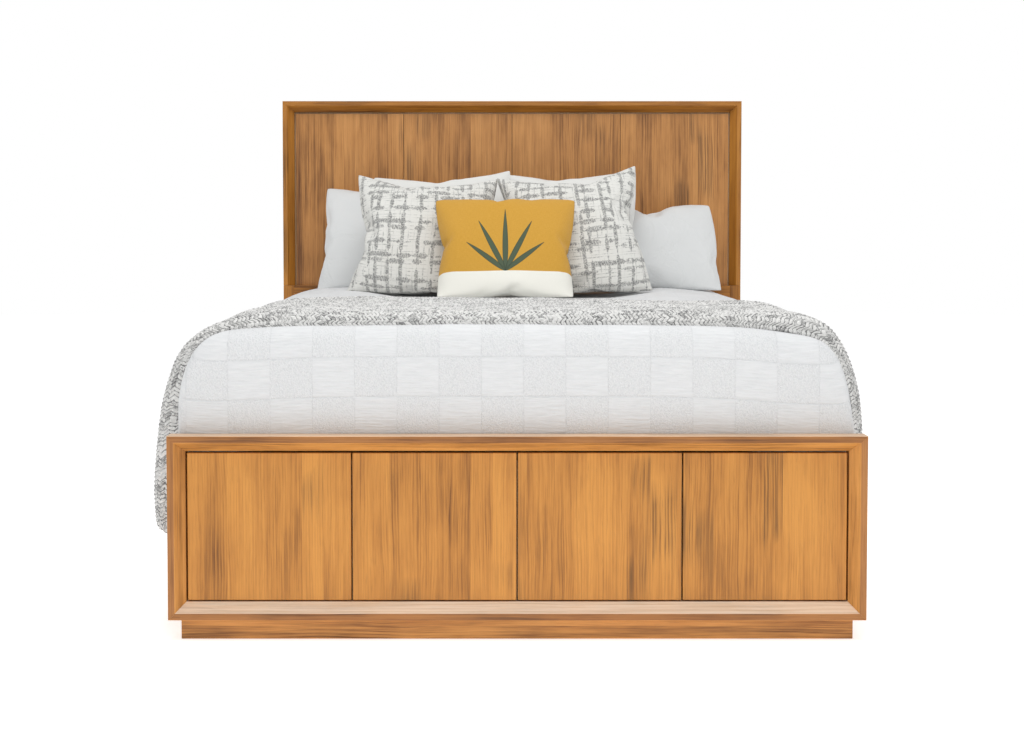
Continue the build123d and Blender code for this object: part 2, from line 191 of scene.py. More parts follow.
def stained_pine(name, along, tint, lamella=0.07, seed=0.0, streaks=0.3, contrast=1.0,
                 top_highlight=0.0, front_face_shade=None):
    """Stained pine, glued up from lamellas, with its grain along one axis."""
    material, tree, surface = new_material(name, 0.4)
    place = shade(tree, "TexCoord").outputs["Object"]
    parts = shade(tree, "SeparateXYZ", {0: place}).outputs
    across_axis, along_axis, depth_axis = {"Z": (0, 2, 1), "X": (2, 0, 1), "Y": (2, 1, 0)}[along]
    depth = parts[depth_axis]
    across = maths(tree, "ADD", parts[across_axis], 3.7 + seed)
    length = maths(tree, "ADD", parts[along_axis], 5.1 + seed * 2.3)

    strip = shade(tree, "TexVoronoi", {"W": across, "Scale": 1 / lamella, "Randomness": 0.8},
                  voronoi_dimensions="1D").outputs["Color"]
    tone, turn, choice = shade(tree, "SeparateColor", {0: strip}).outputs[:3]

    sway = noise_at(tree, join(tree, times(tree, across, 9.0), times(tree, length, 3.4),
                               times(tree, turn, 19.0)), 1.0)
    across = maths(tree, "MULTIPLY_ADD", sway, 0.016, across)

    def grain_noise(across_scale, length_scale, detail=3.0, rough=0.55, shift=0.0):
        """Noise drawn out along the grain, different in each lamella."""
        deeper = maths(tree, "MULTIPLY_ADD", depth, across_scale, shift)
        where = join(tree, times(tree, across, across_scale), times(tree, length, length_scale),
                     maths(tree, "MULTIPLY_ADD", turn, 37.0, deeper))
        return noise_at(tree, where, 1.0, detail, rough)

    # growth rings: layers round a pith far below the face, cut nearly along the grain
    wander = maths(tree, "MULTIPLY_ADD", grain_noise(7, 1.3, 2.0), 0.024,
                   times(tree, grain_noise(26, 5, 2.0, shift=4.0), 0.0035))
    sideways = maths(tree, "MULTIPLY_ADD", maths(tree, "SUBTRACT", turn, 0.5), 0.24, wander)
    local = maths(tree, "SUBTRACT", maths(tree, "PINGPONG", across, lamella * 0.5), sideways)
    dip = times(tree, grain_noise(2.0, 0.9, 1.0), 0.03)
    below = maths(tree, "MULTIPLY_ADD", choice, 0.03, dip)
    radius = maths(tree, "SQRT", maths(tree, "ADD", maths(tree, "POWER", local, 2.0),
                                       maths(tree, "POWER", below, 2.0)))
    rings_per_metre = 165.0
    ring = maths(tree, "FRACT", times(tree, radius, rings_per_metre))
    late_wood = times(tree, maths(tree, "POWER", ring, 2.2),
                      spread(tree, grain_noise(30, 2.5, 2.0, shift=9.0), 0.3, 0.7))

    fibre = grain_noise(430, 9, 3.0, 0.75)
    grain_line = spread(tree, grain_noise(190, 2.6, 4.0, 0.66, 11.0), 0.4, 0.68)
    pores = spread(tree, grain_noise(520, 22, 2.0, shift=2.0), 0.58, 0.72)
    blotch = spread(tree, grain_noise(13, 3.6, 3.0, 0.6, 6.0), 0.36, 0.72)
    band = spread(tree, grain_noise(46, 1.6, 2.0, 0.5, 3.0), 0.34, 0.7)
    streak_line = spread(tree, grain_noise(210, 2.4, 3.0, 0.6, 1.0), 0.42, 0.6)
    streak_run = spread(tree, grain_noise(5, 4.2, 1.0, 0.5, 7.0), 0.48, 0.62)
    streak_here = spread(tree, choice, 1.0 - streaks, 1.0 - 0.8 * streaks)
    streak = times(tree, times(tree, streak_line, streak_here), streak_run)

    depth_of_stain = -0.20 - 0.28 * contrast
    for part, weight in ((late_wood, 0.30 * contrast), (fibre, 0.55), (tone, 0.26 * contrast),
                         (blotch, 0.36 * contrast), (band, 0.22 * contrast), (grain_line, 0.30 * contrast)):
        depth_of_stain = maths(tree, "MULTIPLY_ADD", part, weight, depth_of_stain)
    ramp = shade(tree, "ValToRGB", {0: depth_of_stain})
    stops = ramp.color_ramp.elements
    stops[0].position, stops[0].color = 0.0, (tint[0] * 1.16, tint[1] * 1.20, tint[2] * 1.30, 1)
    stops[1].position, stops[1].color = 1.0, (tint[0] * 0.26, tint[1] * 0.20, tint[2] * 0.16, 1)
    middle = stops.new(0.42)
    middle.color = (tint[0] * 0.90, tint[1] * 0.87, tint[2] * 0.86, 1)

    dark = maths(tree, "MULTIPLY_ADD", streak, 0.75, times(tree, pores, 0.2))
    dark = maths(tree, "MINIMUM", dark, 0.85)
    brown = (tint[0] * 0.25, tint[1] * 0.25, tint[2] * 0.30, 1)
    colour = blend(tree, dark, ramp.outputs[0], brown)
    # painted shade: faces turned straight to the front are multiplied by a darker tint, so the bevels read
    # lighter beside them
    if front_face_shade:
        outward = shade(tree, "SeparateXYZ", {0: shade(tree, "TexCoord").outputs["Normal"]}).outputs[1]
        front_shade_share = spread(tree, outward, -0.85, -0.98)
        colour = shade(tree, "Mix", {0: front_shade_share, 6: colour, 7: (*front_face_shade, 1)}, data_type="RGBA",
                       blend_type="MULTIPLY").outputs[2]
    # painted highlight: faces turned upwards are blended towards a pale grained colour, standing in for the
    # reflection of the light above
    if top_highlight:
        upward = shade(tree, "SeparateXYZ", {0: shade(tree, "TexCoord").outputs["Normal"]}).outputs[2]
        pale = spread(tree, upward, 0.3, 0.75, 0.0, top_highlight)
        highlight_colour = blend(tree, grain_line, (0.92, 0.77, 0.62, 1), (0.72, 0.53, 0.36, 1))
        colour = blend(tree, pale, colour, highlight_colour)
    tree.links.new(colour, surface.inputs["Base Color"])
    rough = spread(tree, fibre, 0.0, 1.0, 0.3, 0.52)
    tree.links.new(rough, surface.inputs["Roughness"])
    sunk = maths(tree, "ADD", fibre, pores)
    height = maths(tree, "SUBTRACT", times(tree, late_wood, 0.3), sunk)
    bump = shade(tree, "Bump", {"Strength": 0.25, "Distance": 0.0005, "Height": height})
    tree.links.new(bump.outputs[0], surface.inputs["Normal"])
    surface.inputs["Specular IOR Level"].default_value = 0.35
    surface.inputs["Coat Weight"].default_value = 0.12
    surface.inputs["Coat Roughness"].default_value = 0.22
    return material


def finish_wood(node, material):
    """Gives a carried-over wooden part its finish."""
    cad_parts[node].data.materials.clear()
    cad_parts[node].data.materials.append(material)


honey = (0.580, 0.248, 0.044)
frame_honey = (0.61, 0.280, 0.068)
# darker tint for the painted shade on the front-facing faces of the footboard
front_face_shade_tint = (0.66, 0.60, 0.66)
for number, (node, along) in enumerate((
        ("footboard_left_stile", "Z"), ("footboard_right_stile", "Z"), ("footboard_top_rail", "X"),
        ("footboard_bottom_rail", "X"), ("plinth_front", "X"), ("plinth_left", "Y"), ("plinth_right", "Y"),
        ("side_rail_left", "Y"), ("side_rail_right", "Y"))):
    # painted highlight on the upturned faces of the footboard rails
    top_highlight = {"footboard_top_rail": 0.5, "footboard_bottom_rail": 0.75}.get(node, 0.0)
    # the footboard pieces get painted shade on their front-facing faces
    tone = front_face_shade_tint if node.startswith("footboard") else None
    finish_wood(node, stained_pine(node + "_pine", along, frame_honey, lamella=0.09, seed=1.7 * number,
                                   streaks=0.3, contrast=1.25, top_highlight=top_highlight, front_face_shade=tone))
for number, front_seed in enumerate((0.9, 2.3, 4.15, 5.2), start=1):
    finish_wood(f"drawer_{number}_front",
                stained_pine(f"front_{number}_pine", "Z", honey, lamella=0.062, seed=front_seed,
                             streaks=0.3, contrast=1.05))

# ---- headboard -----------------------------------------------------------------------
# The same mitred moulding frames four upright planks; below it the legs carry on plain, with
# a flush board between them. The planks took the stain a little browner than the drawers.
headboard_brown = (0.50, 0.232, 0.066)
headboard_frame = (0.40, 0.162, 0.022)
for number in range(1, 5):
    finish_wood(f"headboard_plank_{number}",
                stained_pine(f"plank_{number}_pine", "Z", headboard_brown, lamella=0.05,
                             seed=5.3 + 1.3 * number, streaks=0.25, contrast=1.2))
for number, (node, along) in enumerate((
        ("headboard_top_rail", "X"), ("headboard_left_stile", "Z"), ("headboard_right_stile", "Z"),
        ("headboard_left_leg", "Z"), ("headboard_right_leg", "Z"))):
    finish_wood(node, stained_pine(node + "_pine", along, headboard_frame, lamella=0.09,
                                   seed=11.0 + 2.1 * number, streaks=0.3, contrast=1.25))
finish_wood("headboard_lower_rail", stained_pine("headboard_lower_rail_pine", "X", headboard_frame,
                                                 lamella=0.09, seed=19.4, streaks=0.1,
                                                 contrast=1.1))

# ---- hidden woodwork: cabinet, drawer boxes, deck -------------------------------------
# Inside the bed everything is plain sanded plywood and pine, only sealed: the cabinet that
# carries the drawers, the drawer boxes, the slats on their ledgers and the centre beam.
pale_pine = (0.66, 0.47, 0.27)
for number, (node, along) in enumerate((
        ("cabinet_bottom", "X"), ("cabinet_top", "X"), ("cabinet_back", "X"), ("cabinet_uprights", "Y"),
        ("plinth_back", "X"), ("ledgers", "Y"), ("slats", "X"), ("centre_beam", "Y"), ("centre_legs", "Z"),
        ("rail_dowels", "Y"), ("headboard_backing", "Z"))):
    finish_wood(node, stained_pine(node + "_pine", along, pale_pine, lamella=0.12,
                                   seed=21.0 + 1.9 * number, streaks=0.0, contrast=0.7))
for number in range(1, 5):
    finish_wood(f"drawer_{number}_box", stained_pine(f"box_{number}_pine", "Y", pale_pine,
                                                     lamella=0.11, seed=33.0 + 1.1 * number,
                                                     streaks=0.05, contrast=0.7))
    finish_wood(f"drawer_{number}_bottom",
                stained_pine(f"bottom_{number}_ply", "X", pale_pine, lamella=0.2,
                             seed=41.0 + 1.1 * number, streaks=0.0, contrast=0.6))

# ---- runners, brackets, bolts and glides ----------------------------------------------
# The drawer runners and the corner brackets are zinc-plated pressed steel, the bolts are plated
# hexagon heads, and the feet stand on black nylon glides.


def plated_steel(name):
    """Zinc plate with faint rolling marks and a cloudy bloom."""
    material, tree, surface = new_material(name, 0.34)
    place = shade(tree, "TexCoord").outputs["Object"]
    stretched = stretch(tree, place, (900, 14, 900))
    marks = noise_at(tree, stretched, 1.0)
    bloom = noise_at(tree, place, 60.0, 3.0)
    colour = shade(tree, "ValToRGB", {0: bloom})
    colour.color_ramp.elements[0].color = (0.48, 0.49, 0.51, 1)
    colour.color_ramp.elements[1].color = (0.72, 0.73, 0.74, 1)
    tree.links.new(colour.outputs[0], surface.inputs["Base Color"])
    rough = spread(tree, marks, 0.0, 1.0, 0.25, 0.46)
    tree.links.new(rough, surface.inputs["Roughness"])
    surface.inputs["Metallic"].default_value = 1.0
    return material


zinc = plated_steel("zinc_plate")
moving_runners = [f"drawer_{number}_runners" for number in range(1, 5)]
for node in ("fixed_runners", "corner_brackets", "bracket_bolts", *moving_runners):
    finish_wood(node, zinc)

nylon, tree, surface = new_material("black_nylon", 0.55)
mould = noise_at(tree, shade(tree, "TexCoord").outputs["Object"], 1500.0)
bump = shade(tree, "Bump", {"Strength": 0.2, "Distance": 0.0002, "Height": mould})
tree.links.new(bump.outputs[0], surface.inputs["Normal"])
grey = spread(tree, mould, 0.0, 1.0, 0.018, 0.035)
tree.links.new(grey, surface.inputs["Base Color"])
finish_wood("glides", nylon)

# ---- mattress --------------------------------------------------------------------------
# A sprung mattress with soft rounded edges, in white damask ticking, with a quilted border of
# shallow puffs round its sides.


def weave_bump(tree, surface, threads, depth, strength, height=None, coords="Object"):
    """A plain weave in the surface's normal: threads per metre both ways, over any other relief."""
    if coords == "Object":
        place = shade(tree, "TexCoord").outputs["Object"]
    else:
        place = shade(tree, "UVMap", uv_map="cloth").outputs[0]
    parts = shade(tree, "SeparateXYZ", {0: place}).outputs
    last = parts[1] if coords == "cloth" else parts[2]
    warp = maths(tree, "SINE", times(tree, parts[0], threads * math.tau))
    weft = maths(tree, "SINE", times(tree, last, threads * math.tau))
    weave = times(tree, warp, weft)
    slub = noise_at(tree, place, threads * 0.6)
    weave = maths(tree, "MULTIPLY_ADD", slub, 1.4, weave)
    fine = shade(tree, "Bump", {"Strength": strength, "Distance": depth, "Height": weave})
    if height is not None:
        coarse = shade(tree, "Bump", {"Strength": 1.0, "Distance": 1.0, "Height": height})
        tree.links.new(coarse.outputs[0], fine.inputs["Normal"])
    tree.links.new(fine.outputs[0], surface.inputs["Normal"])


def rounded_block(low, high, radius, cuts):
    """A bmesh box with all its edges rounded, cut into faces of about one size."""
    block = bmesh.new()
    bmesh.ops.create_cube(block, size=1)
    middle = (Vector(low) + Vector(high)) / 2
    size = Vector(high) - Vector(low)
    bmesh.ops.scale(block, vec=size, verts=block.verts)
    bmesh.ops.translate(block, vec=middle, verts=block.verts)
    bmesh.ops.bevel(block, geom=list(block.edges), offset=radius, segments=6, profile=0.5,
                    affect="EDGES", material=-1)
    longest = max(size) / cuts
    for axis in range(3):
        steps = int(size[axis] / longest)
        for step in range(1, steps):
            cut = Vector(middle)
            cut[axis] = low[axis] + step * size[axis] / steps
            normal = Vector((0, 0, 0))
            normal[axis] = 1
            if radius < cut[axis] - low[axis] < size[axis] - radius:
                bmesh.ops.bisect_plane(block, geom=[*block.verts, *block.edges, *block.faces],
                                       plane_co=cut, plane_no=normal)
    return block


def crown(x):
    """How far the top of the bed falls away from its middle, further at the right."""
    return (0.014 if x < 0 else 0.024) * (abs(x) / 0.700) ** 4.5


mattress_low, mattress_high = (Vector(c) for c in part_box("mattress"))
cover_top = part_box("coverlet")[1][2] - 0.001
inset = Vector((0.004, 0.002, 0.001))
block = rounded_block(mattress_low + inset, mattress_high - inset, 0.06, 60)
mattress_middle = (mattress_low.z + mattress_high.z) / 2
puff_length, puff_depth, puff_rows = 0.14, 0.004, 18
cover_clearance = 0.016
for vertex in block.verts:
    side = abs(vertex.normal.x) + abs(vertex.normal.y)
    if side > 0.7:
        run = vertex.co.x + vertex.co.y
        puff = abs(math.sin(run / puff_length * math.pi))
        puff *= abs(math.cos((vertex.co.z - mattress_middle) * puff_rows))
        vertex.co -= vertex.normal * puff_depth * (1 - puff)
    vertex.co.z = min(vertex.co.z, cover_top - cover_clearance - crown(vertex.co.x))
mattress_mesh = bpy.data.meshes.new("mattress_cover")
block.to_mesh(mattress_mesh)
block.free()
mattress = new_piece("mattress_cover", mattress_mesh)
for face in mattress_mesh.polygons:
    face.use_smooth = True
ticking, tree, surface = new_material("white_ticking", 0.85)
surface.inputs["Base Color"].default_value = (0.80, 0.80, 0.77, 1)
surface.inputs["Sheen Weight"].default_value = 0.2
damask = shade(tree, "TexVoronoi", {"Vector": shade(tree, "TexCoord").outputs["Object"], "Scale": 26.0},
               feature="SMOOTH_F1").outputs["Distance"]
weave_bump(tree, surface, 900, 0.0003, 0.3, times(tree, damask, 0.002))
mattress_mesh.materials.append(ticking)
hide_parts("mattress")
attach(mattress, "bed")

# ---- coverlet ---------------------------------------------------------------------------
# A white matelasse bedspread, woven in a chequer of pebbled and finely crinkled squares. It
# hangs over the rails at both sides and is tucked down behind the footboard.
deck_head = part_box("headboard_lower_rail")[0][1]
cover_half = 0.700
cover_front = foot + 0.100
cover_back = deck_head - 0.006
cover_corner = 0.045
corner_fullness = 0.24
grid_step = 0.02
side_drop = [(0.0, 0.0), (0.024, 0.005), (0.048, 0.015), (0.069, 0.034), (0.087, 0.061),
             (0.1, 0.094), (0.11, 0.131), (0.118, 0.17), (0.124, 0.209), (0.128, 0.25),
             (0.131, 0.292), (0.134, 0.335), (0.136, 0.381), (0.137, 0.425)]
left_fullness = 0.013
foot_drop = [(0.0, 0.0), (0.015, 0.003), (0.028, 0.01), (0.037, 0.023), (0.043, 0.044),
             (0.0465, 0.073), (0.048, 0.104), (0.049, 0.137), (0.0495, 0.17), (0.049, 0.203),
             (0.047, 0.234), (0.0445, 0.262), (0.043, 0.282), (0.043, 0.295)]
head_swell = 0.030


def eased(value, start, end):
    """0 before start, 1 after end, smooth between."""
    share = min(1.0, max(0.0, (value - start) / (end - start)))
    return share * share * (3 - 2 * share)


def cover_height(x, y):
    """How far the top lies below its middle: lower at the sides, swollen at the head."""
    return crown(x) - head_swell * eased(y, foot + 1.10, foot + 1.50) * eased(abs(x), 0.30, 0.55)


cover = bmesh.new()
columns = round(2 * cover_half / grid_step)
rows = round((cover_back - cover_front) / grid_step)
bmesh.ops.create_grid(cover, x_segments=columns, y_segments=rows, size=0.5)
base = cover.verts.layers.float_vector.new("base")
turn = cover.verts.layers.float.new("turn")
for vertex in cover.verts:
    x = vertex.co.x * 2 * cover_half
    y = cover_front + (vertex.co.y + 0.5) * (cover_back - cover_front)
    angle = 0.0 if abs(x) > cover_half - 1e-4 else math.pi / 2
    into_x = cover_half - abs(x)
    into_y = y - cover_front
    if into_x < cover_corner and into_y < cover_corner:
        reach_out = max(cover_corner - into_x, cover_corner - into_y)
        way = math.atan2(cover_corner - into_y, cover_corner - into_x)
        angle = way
        x = math.copysign(cover_half - cover_corner + reach_out * math.cos(way) ** corner_fullness, x)
        y = cover_front + cover_corner - reach_out * math.sin(way) ** corner_fullness
    vertex[base] = (x, y, 0)
    vertex[turn] = angle
    vertex.co = (x, y, cover_top - cover_height(x, y))
hem = [e for e in cover.edges if e.is_boundary
       and not all(v.co.y > deck_head - 0.01 for v in e.verts)]
drop_layer = cover.verts.layers.float.new("drop")
for (side_out, side_down), (foot_out, foot_down) in zip(side_drop[1:], foot_drop[1:]):
    grown = bmesh.ops.extrude_edge_only(cover, edges=hem)["geom"]
    fresh = {g for g in grown if isinstance(g, bmesh.types.BMVert)}
    hem = [g for g in grown if isinstance(g, bmesh.types.BMEdge) and fresh.issuperset(g.verts)]
    for vertex in fresh:
        x, y, _ = vertex[base]
        angle = vertex[turn]
        share = math.sin(angle) ** 2
        down = side_down * (1 - share) + foot_down * share
        side = math.copysign(1, x)
        fuller = left_fullness * math.sin(math.pi * min(1.0, side_down / 0.25)) if x < 0 else 0.0
        vertex.co = (x + side * (side_out + fuller) * max(0.0, math.cos(angle)) ** corner_fullness,
                     y - foot_out * math.sin(angle) ** corner_fullness,
                     cover_top - cover_height(x, y) - down)
        vertex[drop_layer] = (math.hypot(side_out, side_down) * (1 - share)
                              + math.hypot(foot_out, foot_down) * share)
bmesh.ops.recalc_face_normals(cover, faces=cover.faces)
cover.normal_update()

footboard_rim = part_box("footboard_top_rail")[1][2]
for vertex in cover.verts:
    place = vertex.co
    slack = min(1.0, max(0.0, (place.z - footboard_rim + 0.01) / 0.05)) if vertex[turn] > 0.5 else 1.0
    if place.z < footboard_rim and vertex[turn] <= 0.5:
        slack = 0.35
    slow = noise.noise(Vector((place.x * 3.1, place.y * 2.3, place.z * 4.5 + 7)))
    quick = noise.noise(Vector((place.x * 9, place.y * 8, place.z * 13 + 3)))
    vertex.co += vertex.normal * slack * (0.0045 * slow + 0.0016 * quick)

cloth = cover.loops.layers.uv.new("cloth")
for face in cover.faces:
    drop = max(v[drop_layer] for v in face.verts)
    at_foot = sum(v[turn] for v in face.verts) / len(face.verts) > math.pi / 4
    for loop in face.loops:
        x, y, _ = loop.vert[base]
        hang = loop.vert[drop_layer]
        if drop > 0 and at_foot:
            loop[cloth].uv = (loop.vert.co.x, y - hang)
        else:
            loop[cloth].uv = (x + math.copysign(hang, x), y)
cover_mesh = bpy.data.meshes.new("bedspread")
cover.to_mesh(cover_mesh)
cover.free()
for face in cover_mesh.polygons:
    face.use_smooth = True
bedspread = new_piece("bedspread", cover_mesh)
smoothing = bedspread.modifiers.new("smooth", "SUBSURF")
smoothing.levels = smoothing.render_levels = 1
thickness = bedspread.modifiers.new("thickness", "SOLIDIFY")
thickness.thickness = 0.0045
thickness.offset = -1

matelasse, tree, surface = new_material("white_matelasse", 0.88)
place = shade(tree, "UVMap", uv_map="cloth").outputs[0]
parts = shade(tree, "SeparateXYZ", {0: place}).outputs
square_across, square_down = 0.1022, 0.0895
foot_seam = cover_front - 0.088
from_seam = maths(tree, "SUBTRACT", parts[1], foot_seam - 100 * square_down)
from_middle = maths(tree, "ADD", parts[0], 100 * square_across - 0.0156)
column = maths(tree, "FLOOR", maths(tree, "DIVIDE", from_middle, square_across))
row = maths(tree, "FLOOR", maths(tree, "DIVIDE", from_seam, square_down))
chequer = maths(tree, "PINGPONG", maths(tree, "ADD", maths(tree, "ADD", column, 1.0), row), 1.0)
pebbles = shade(tree, "TexVoronoi", {"Vector": place, "Scale": 290.0,
                                     "Randomness": 1.0}).outputs["Distance"]
wobble = noise_at(tree, place, 26.0)
lines = join(tree, times(tree, parts[0], 22.0), times(tree, parts[1], 190.0), times(tree, wobble, 1.6))
crinkle = noise_at(tree, lines, 1.0)
relief = shade(tree, "Mix", {0: chequer, 2: maths(tree, "MULTIPLY_ADD", pebbles, -0.0013, 0.0006),
                             3: maths(tree, "MULTIPLY_ADD", crinkle, 0.0024, -0.0012)}).outputs[0]
edge_x = maths(tree, "PINGPONG", from_middle, square_across / 2)
edge_y = maths(tree, "PINGPONG", from_seam, square_down / 2)
near_edge = maths(tree, "MINIMUM", maths(tree, "ADD", edge_x, times(tree, wobble, 0.003)), edge_y)
near_edge = spread(tree, near_edge, 0.0, 0.0035, -0.001, 0.0)
relief = maths(tree, "ADD", relief, near_edge)
weave_bump(tree, surface, 700, 0.0002, 0.25, relief, coords="cloth")
# painted shade: the colour follows the relief, darker in the pebble hollows, the crinkle troughs and along
# the seams between squares, lighter on the tops
relief_shading = shade(tree, "Mix", {0: chequer, 2: maths(tree, "MULTIPLY_ADD", pebbles, -1.1, 1.13),
                             3: maths(tree, "MULTIPLY_ADD", crinkle, 1.2, 0.0)}).outputs[0]
relief_shading = maths(tree, "MULTIPLY_ADD", near_edge, 300.0, relief_shading)
white = blend(tree, relief_shading, (0.655, 0.668, 0.68, 1), (0.775, 0.783, 0.79, 1))
tree.links.new(white, surface.inputs["Base Color"])
surface.inputs["Sheen Weight"].default_value = 0.15
surface.inputs["Specular IOR Level"].default_value = 0.25
cover_mesh.materials.append(matelasse)
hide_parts("coverlet")
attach(bedspread, "bed")

# ---- throw ------------------------------------------------------------------------------
# A queen-size blanket in chunky stocking stitch, knitted from a white and grey marled yarn. It
# is folded in half with the fold towards the foot, and its ends hang down over both sides.
throw_front = foot + 0.117
left_under = [(0, 0.7525), (0.3, 0.752), (0.5, 0.749), (0.62, 0.744), (0.7, 0.734), (0.758, 0.717),
              (0.793, 0.684), (0.809, 0.62), (0.816, 0.553), (0.826, 0.48), (0.834, 0.34),
              (0.836, 0.236)]
right_under = [(0, 0.7525), (0.3, 0.752), (0.5, 0.749), (0.62, 0.742), (0.703, 0.728),
               (0.755, 0.702), (0.793, 0.652), (0.815, 0.59), (0.826, 0.522), (0.831, 0.44),
               (0.833, 0.34), (0.832, 0.236)]
left_over = [(0, 0.787), (0.3, 0.7865), (0.5, 0.785), (0.649, 0.778), (0.735, 0.757),
             (0.796, 0.723), (0.838, 0.676), (0.865, 0.612), (0.882, 0.548), (0.894, 0.455),
             (0.899, 0.34), (0.89, 0.226)]
right_over = [(0, 0.787), (0.3, 0.7865), (0.5, 0.785), (0.662, 0.781), (0.75, 0.756),
              (0.796, 0.716), (0.826, 0.658), (0.845, 0.592), (0.854, 0.52), (0.857, 0.44),
              (0.858, 0.34), (0.854, 0.226)]
wale = 0.026
stitch = 0.0109
front_wales, back_wales = 3, 1
hem_roll = 0.035
front_roll, back_roll = 0.045, 0.025
throw_back = foot + 1.05


def smooth_point(points, place):
    """A point on a smooth line through the points; place counts them from 0."""
    index = min(int(place), len(points) - 2)
    share = place - index
    before, start, end, after = (Vector(points[max(0, min(len(points) - 1, index + k))])
                                 for k in (-1, 0, 1, 2))
    slope = (end - before) * share
    bend = (2 * before - 5 * start + 4 * end - after) * share ** 2
    twist = (3 * start - before - 3 * end + after) * share ** 3
    return 0.5 * (2 * start + slope + bend + twist)


under = [(-x, z) for x, z in reversed(left_under[1:])] + right_under
over = [(-x, z) for x, z in reversed(left_over[1:])] + right_over
span_samples = 40
samples = [(index / span_samples, smooth_point(over, index / span_samples))
           for index in range(span_samples * (len(over) - 1) + 1)]
lengths = [0.0]
for (_, start), (_, end) in zip(samples, samples[1:]):
    lengths.append(lengths[-1] + (end - start).length)
throw_length = lengths[-1]


def arch_at(distance):
    """The knit's under and upper points at a distance along it from the left hem."""
    distance = min(max(distance, 0.0), throw_length)
    low = min(bisect.bisect_right(lengths, distance) - 1, len(lengths) - 2)
    share = (distance - lengths[low]) / (lengths[low + 1] - lengths[low])
    place = samples[low][0] + share / span_samples
    return smooth_point(under, place), smooth_point(over, place)


rows = 2 * round(throw_length / stitch)
row_step = throw_length / rows
flat_wales = 36
columns = 4 * (front_wales + flat_wales + back_wales)
knit = bmesh.new()
bmesh.ops.create_grid(knit, x_segments=rows, y_segments=columns, size=0.5)
relief = knit.verts.layers.float.new("relief")
knit_place = knit.verts.layers.float_vector.new("knit_place")
for vertex in knit.verts:
    row = round((vertex.co.x + 0.5) * rows)
    column = round((vertex.co.y + 0.5) * columns)
    leg = (0.0, 0.5, 1.0, 0.5)[column % 4]
    along = row * row_step
    fade = min(1.0, along / hem_roll, (throw_length - along) / hem_roll)
    along -= 0.75 * leg * stitch * fade
    inner, outer = arch_at(along)
    wobble = noise.noise(Vector((along * 2.4, column * 0.05, 3.3)))
    front = throw_front + 0.010 * noise.noise(Vector((along * 3.1, 0, 8.0)))
    back = throw_back - 0.11 * math.tanh(3.2 * outer.x)
    back += 0.014 * noise.noise(Vector((along * 2.7, 5.0, 1.0)))
    if column < 4 * front_wales:
        sweep = column / (4 * front_wales) * math.pi / 2
        lift, y = math.sin(sweep), front + front_roll * (1 - math.cos(sweep))
    elif column > columns - 4 * back_wales:
        sweep = (columns - column) / (4 * back_wales) * math.pi / 2
        lift, y = math.sin(sweep), back - back_roll * (1 - math.cos(sweep))
    else:
        share = (column - 4 * front_wales) / (4 * flat_wales)
        lift, y = 1.0, front + front_roll + share * (back - front - front_roll - back_roll)
    roll = min(1.0, max(0.0, 1 - min(along, throw_length - along) / hem_roll))
    lift *= math.sqrt(max(0.0, 1 - roll ** 2))
    lift *= 1 - 0.35 * eased(y, back - 0.30, back)
    place = inner.lerp(outer, lift)
    hang = max(0.0, min(1.0, (0.72 - place.y) / 0.35))
    outward = math.copysign(1, place.x)
    swell = (0.012 if place.x < 0 else 0.004) * hang * lift
    swell *= noise.noise(Vector((outward * 4, y * 5.0, place.y * 1.6)))
    rumple = 0.005 * wobble + 0.006 * noise.noise(Vector((along * 6, y * 8, 2.0)))
    vertex.co = (place.x + outward * swell, y, place.y + lift * rumple * (1 - hang))
    edge_calm = min(1.0, column / 2, (columns - column) / 2)
    loop_height = 0.0034 if leg == 0.5 else 0.0009
    vertex[relief] = edge_calm * (loop_height * (1 - row % 2) - 0.0012 * (leg == 0.0))
    vertex[knit_place] = (column / 4 * wale, along, 0)
knit.normal_update()
if sum(f.normal.z for f in knit.faces) < 0:
    bmesh.ops.reverse_faces(knit, faces=knit.faces)
    knit.normal_update()
for vertex in knit.verts:
    vertex.co += vertex.normal * vertex[relief]
cloth = knit.loops.layers.uv.new("cloth")
for face in knit.faces:
    face.smooth = True
    for loop in face.loops:
        loop[cloth].uv = loop.vert[knit_place][:2]
throw_mesh = bpy.data.meshes.new("knitted_throw")
knit.to_mesh(throw_mesh)
knit.free()
throw = new_piece("knitted_throw", throw_mesh)

marl, tree, surface = new_material("marled_yarn", 0.95)
place = shade(tree, "UVMap", uv_map="cloth").outputs[0]
uneven = shade(tree, "TexNoise", {"Vector": place, "Scale": 24.0, "Detail": 2.0}).outputs["Color"]
uneven = shade(tree, "VectorMath", {0: uneven, 1: (0.5, 0.5, 0.5)}, operation="SUBTRACT").outputs[0]
uneven = shade(tree, "VectorMath", {0: uneven, 1: (0.016, 0.024, 0)}, operation="MULTIPLY").outputs[0]
shifted = shade(tree, "VectorMath", {0: place, 1: uneven}, operation="ADD").outputs[0]
parts = shade(tree, "SeparateXYZ", {0: shifted}).outputs
wales = maths(tree, "DIVIDE", parts[0], wale)
leg = times(tree, maths(tree, "PINGPONG", wales, 0.5), 2.0)
loops = maths(tree, "ADD", maths(tree, "DIVIDE", parts[1], stitch), 0.5)
loops = maths(tree, "MULTIPLY_ADD", leg, 0.75, loops)
in_loop = maths(tree, "FRACT", loops)
loop_number = maths(tree, "FLOOR", loops)
leg_number = maths(tree, "FLOOR", times(tree, wales, 2.0))
in_leg = maths(tree, "FRACT", times(tree, wales, 2.0))
yarn_id = join(tree, leg_number, loop_number)
yarn_random = shade(tree, "TexWhiteNoise", {"Vector": yarn_id}).outputs["Color"]
yarn_random = shade(tree, "SeparateColor", {0: yarn_random})
along_loop, along_leg = (
    maths(tree, "SUBTRACT", 1.0, maths(tree, "ABSOLUTE", maths(tree, "MULTIPLY_ADD", part, 2.0, -1.0)))
    for part in (in_loop, in_leg))
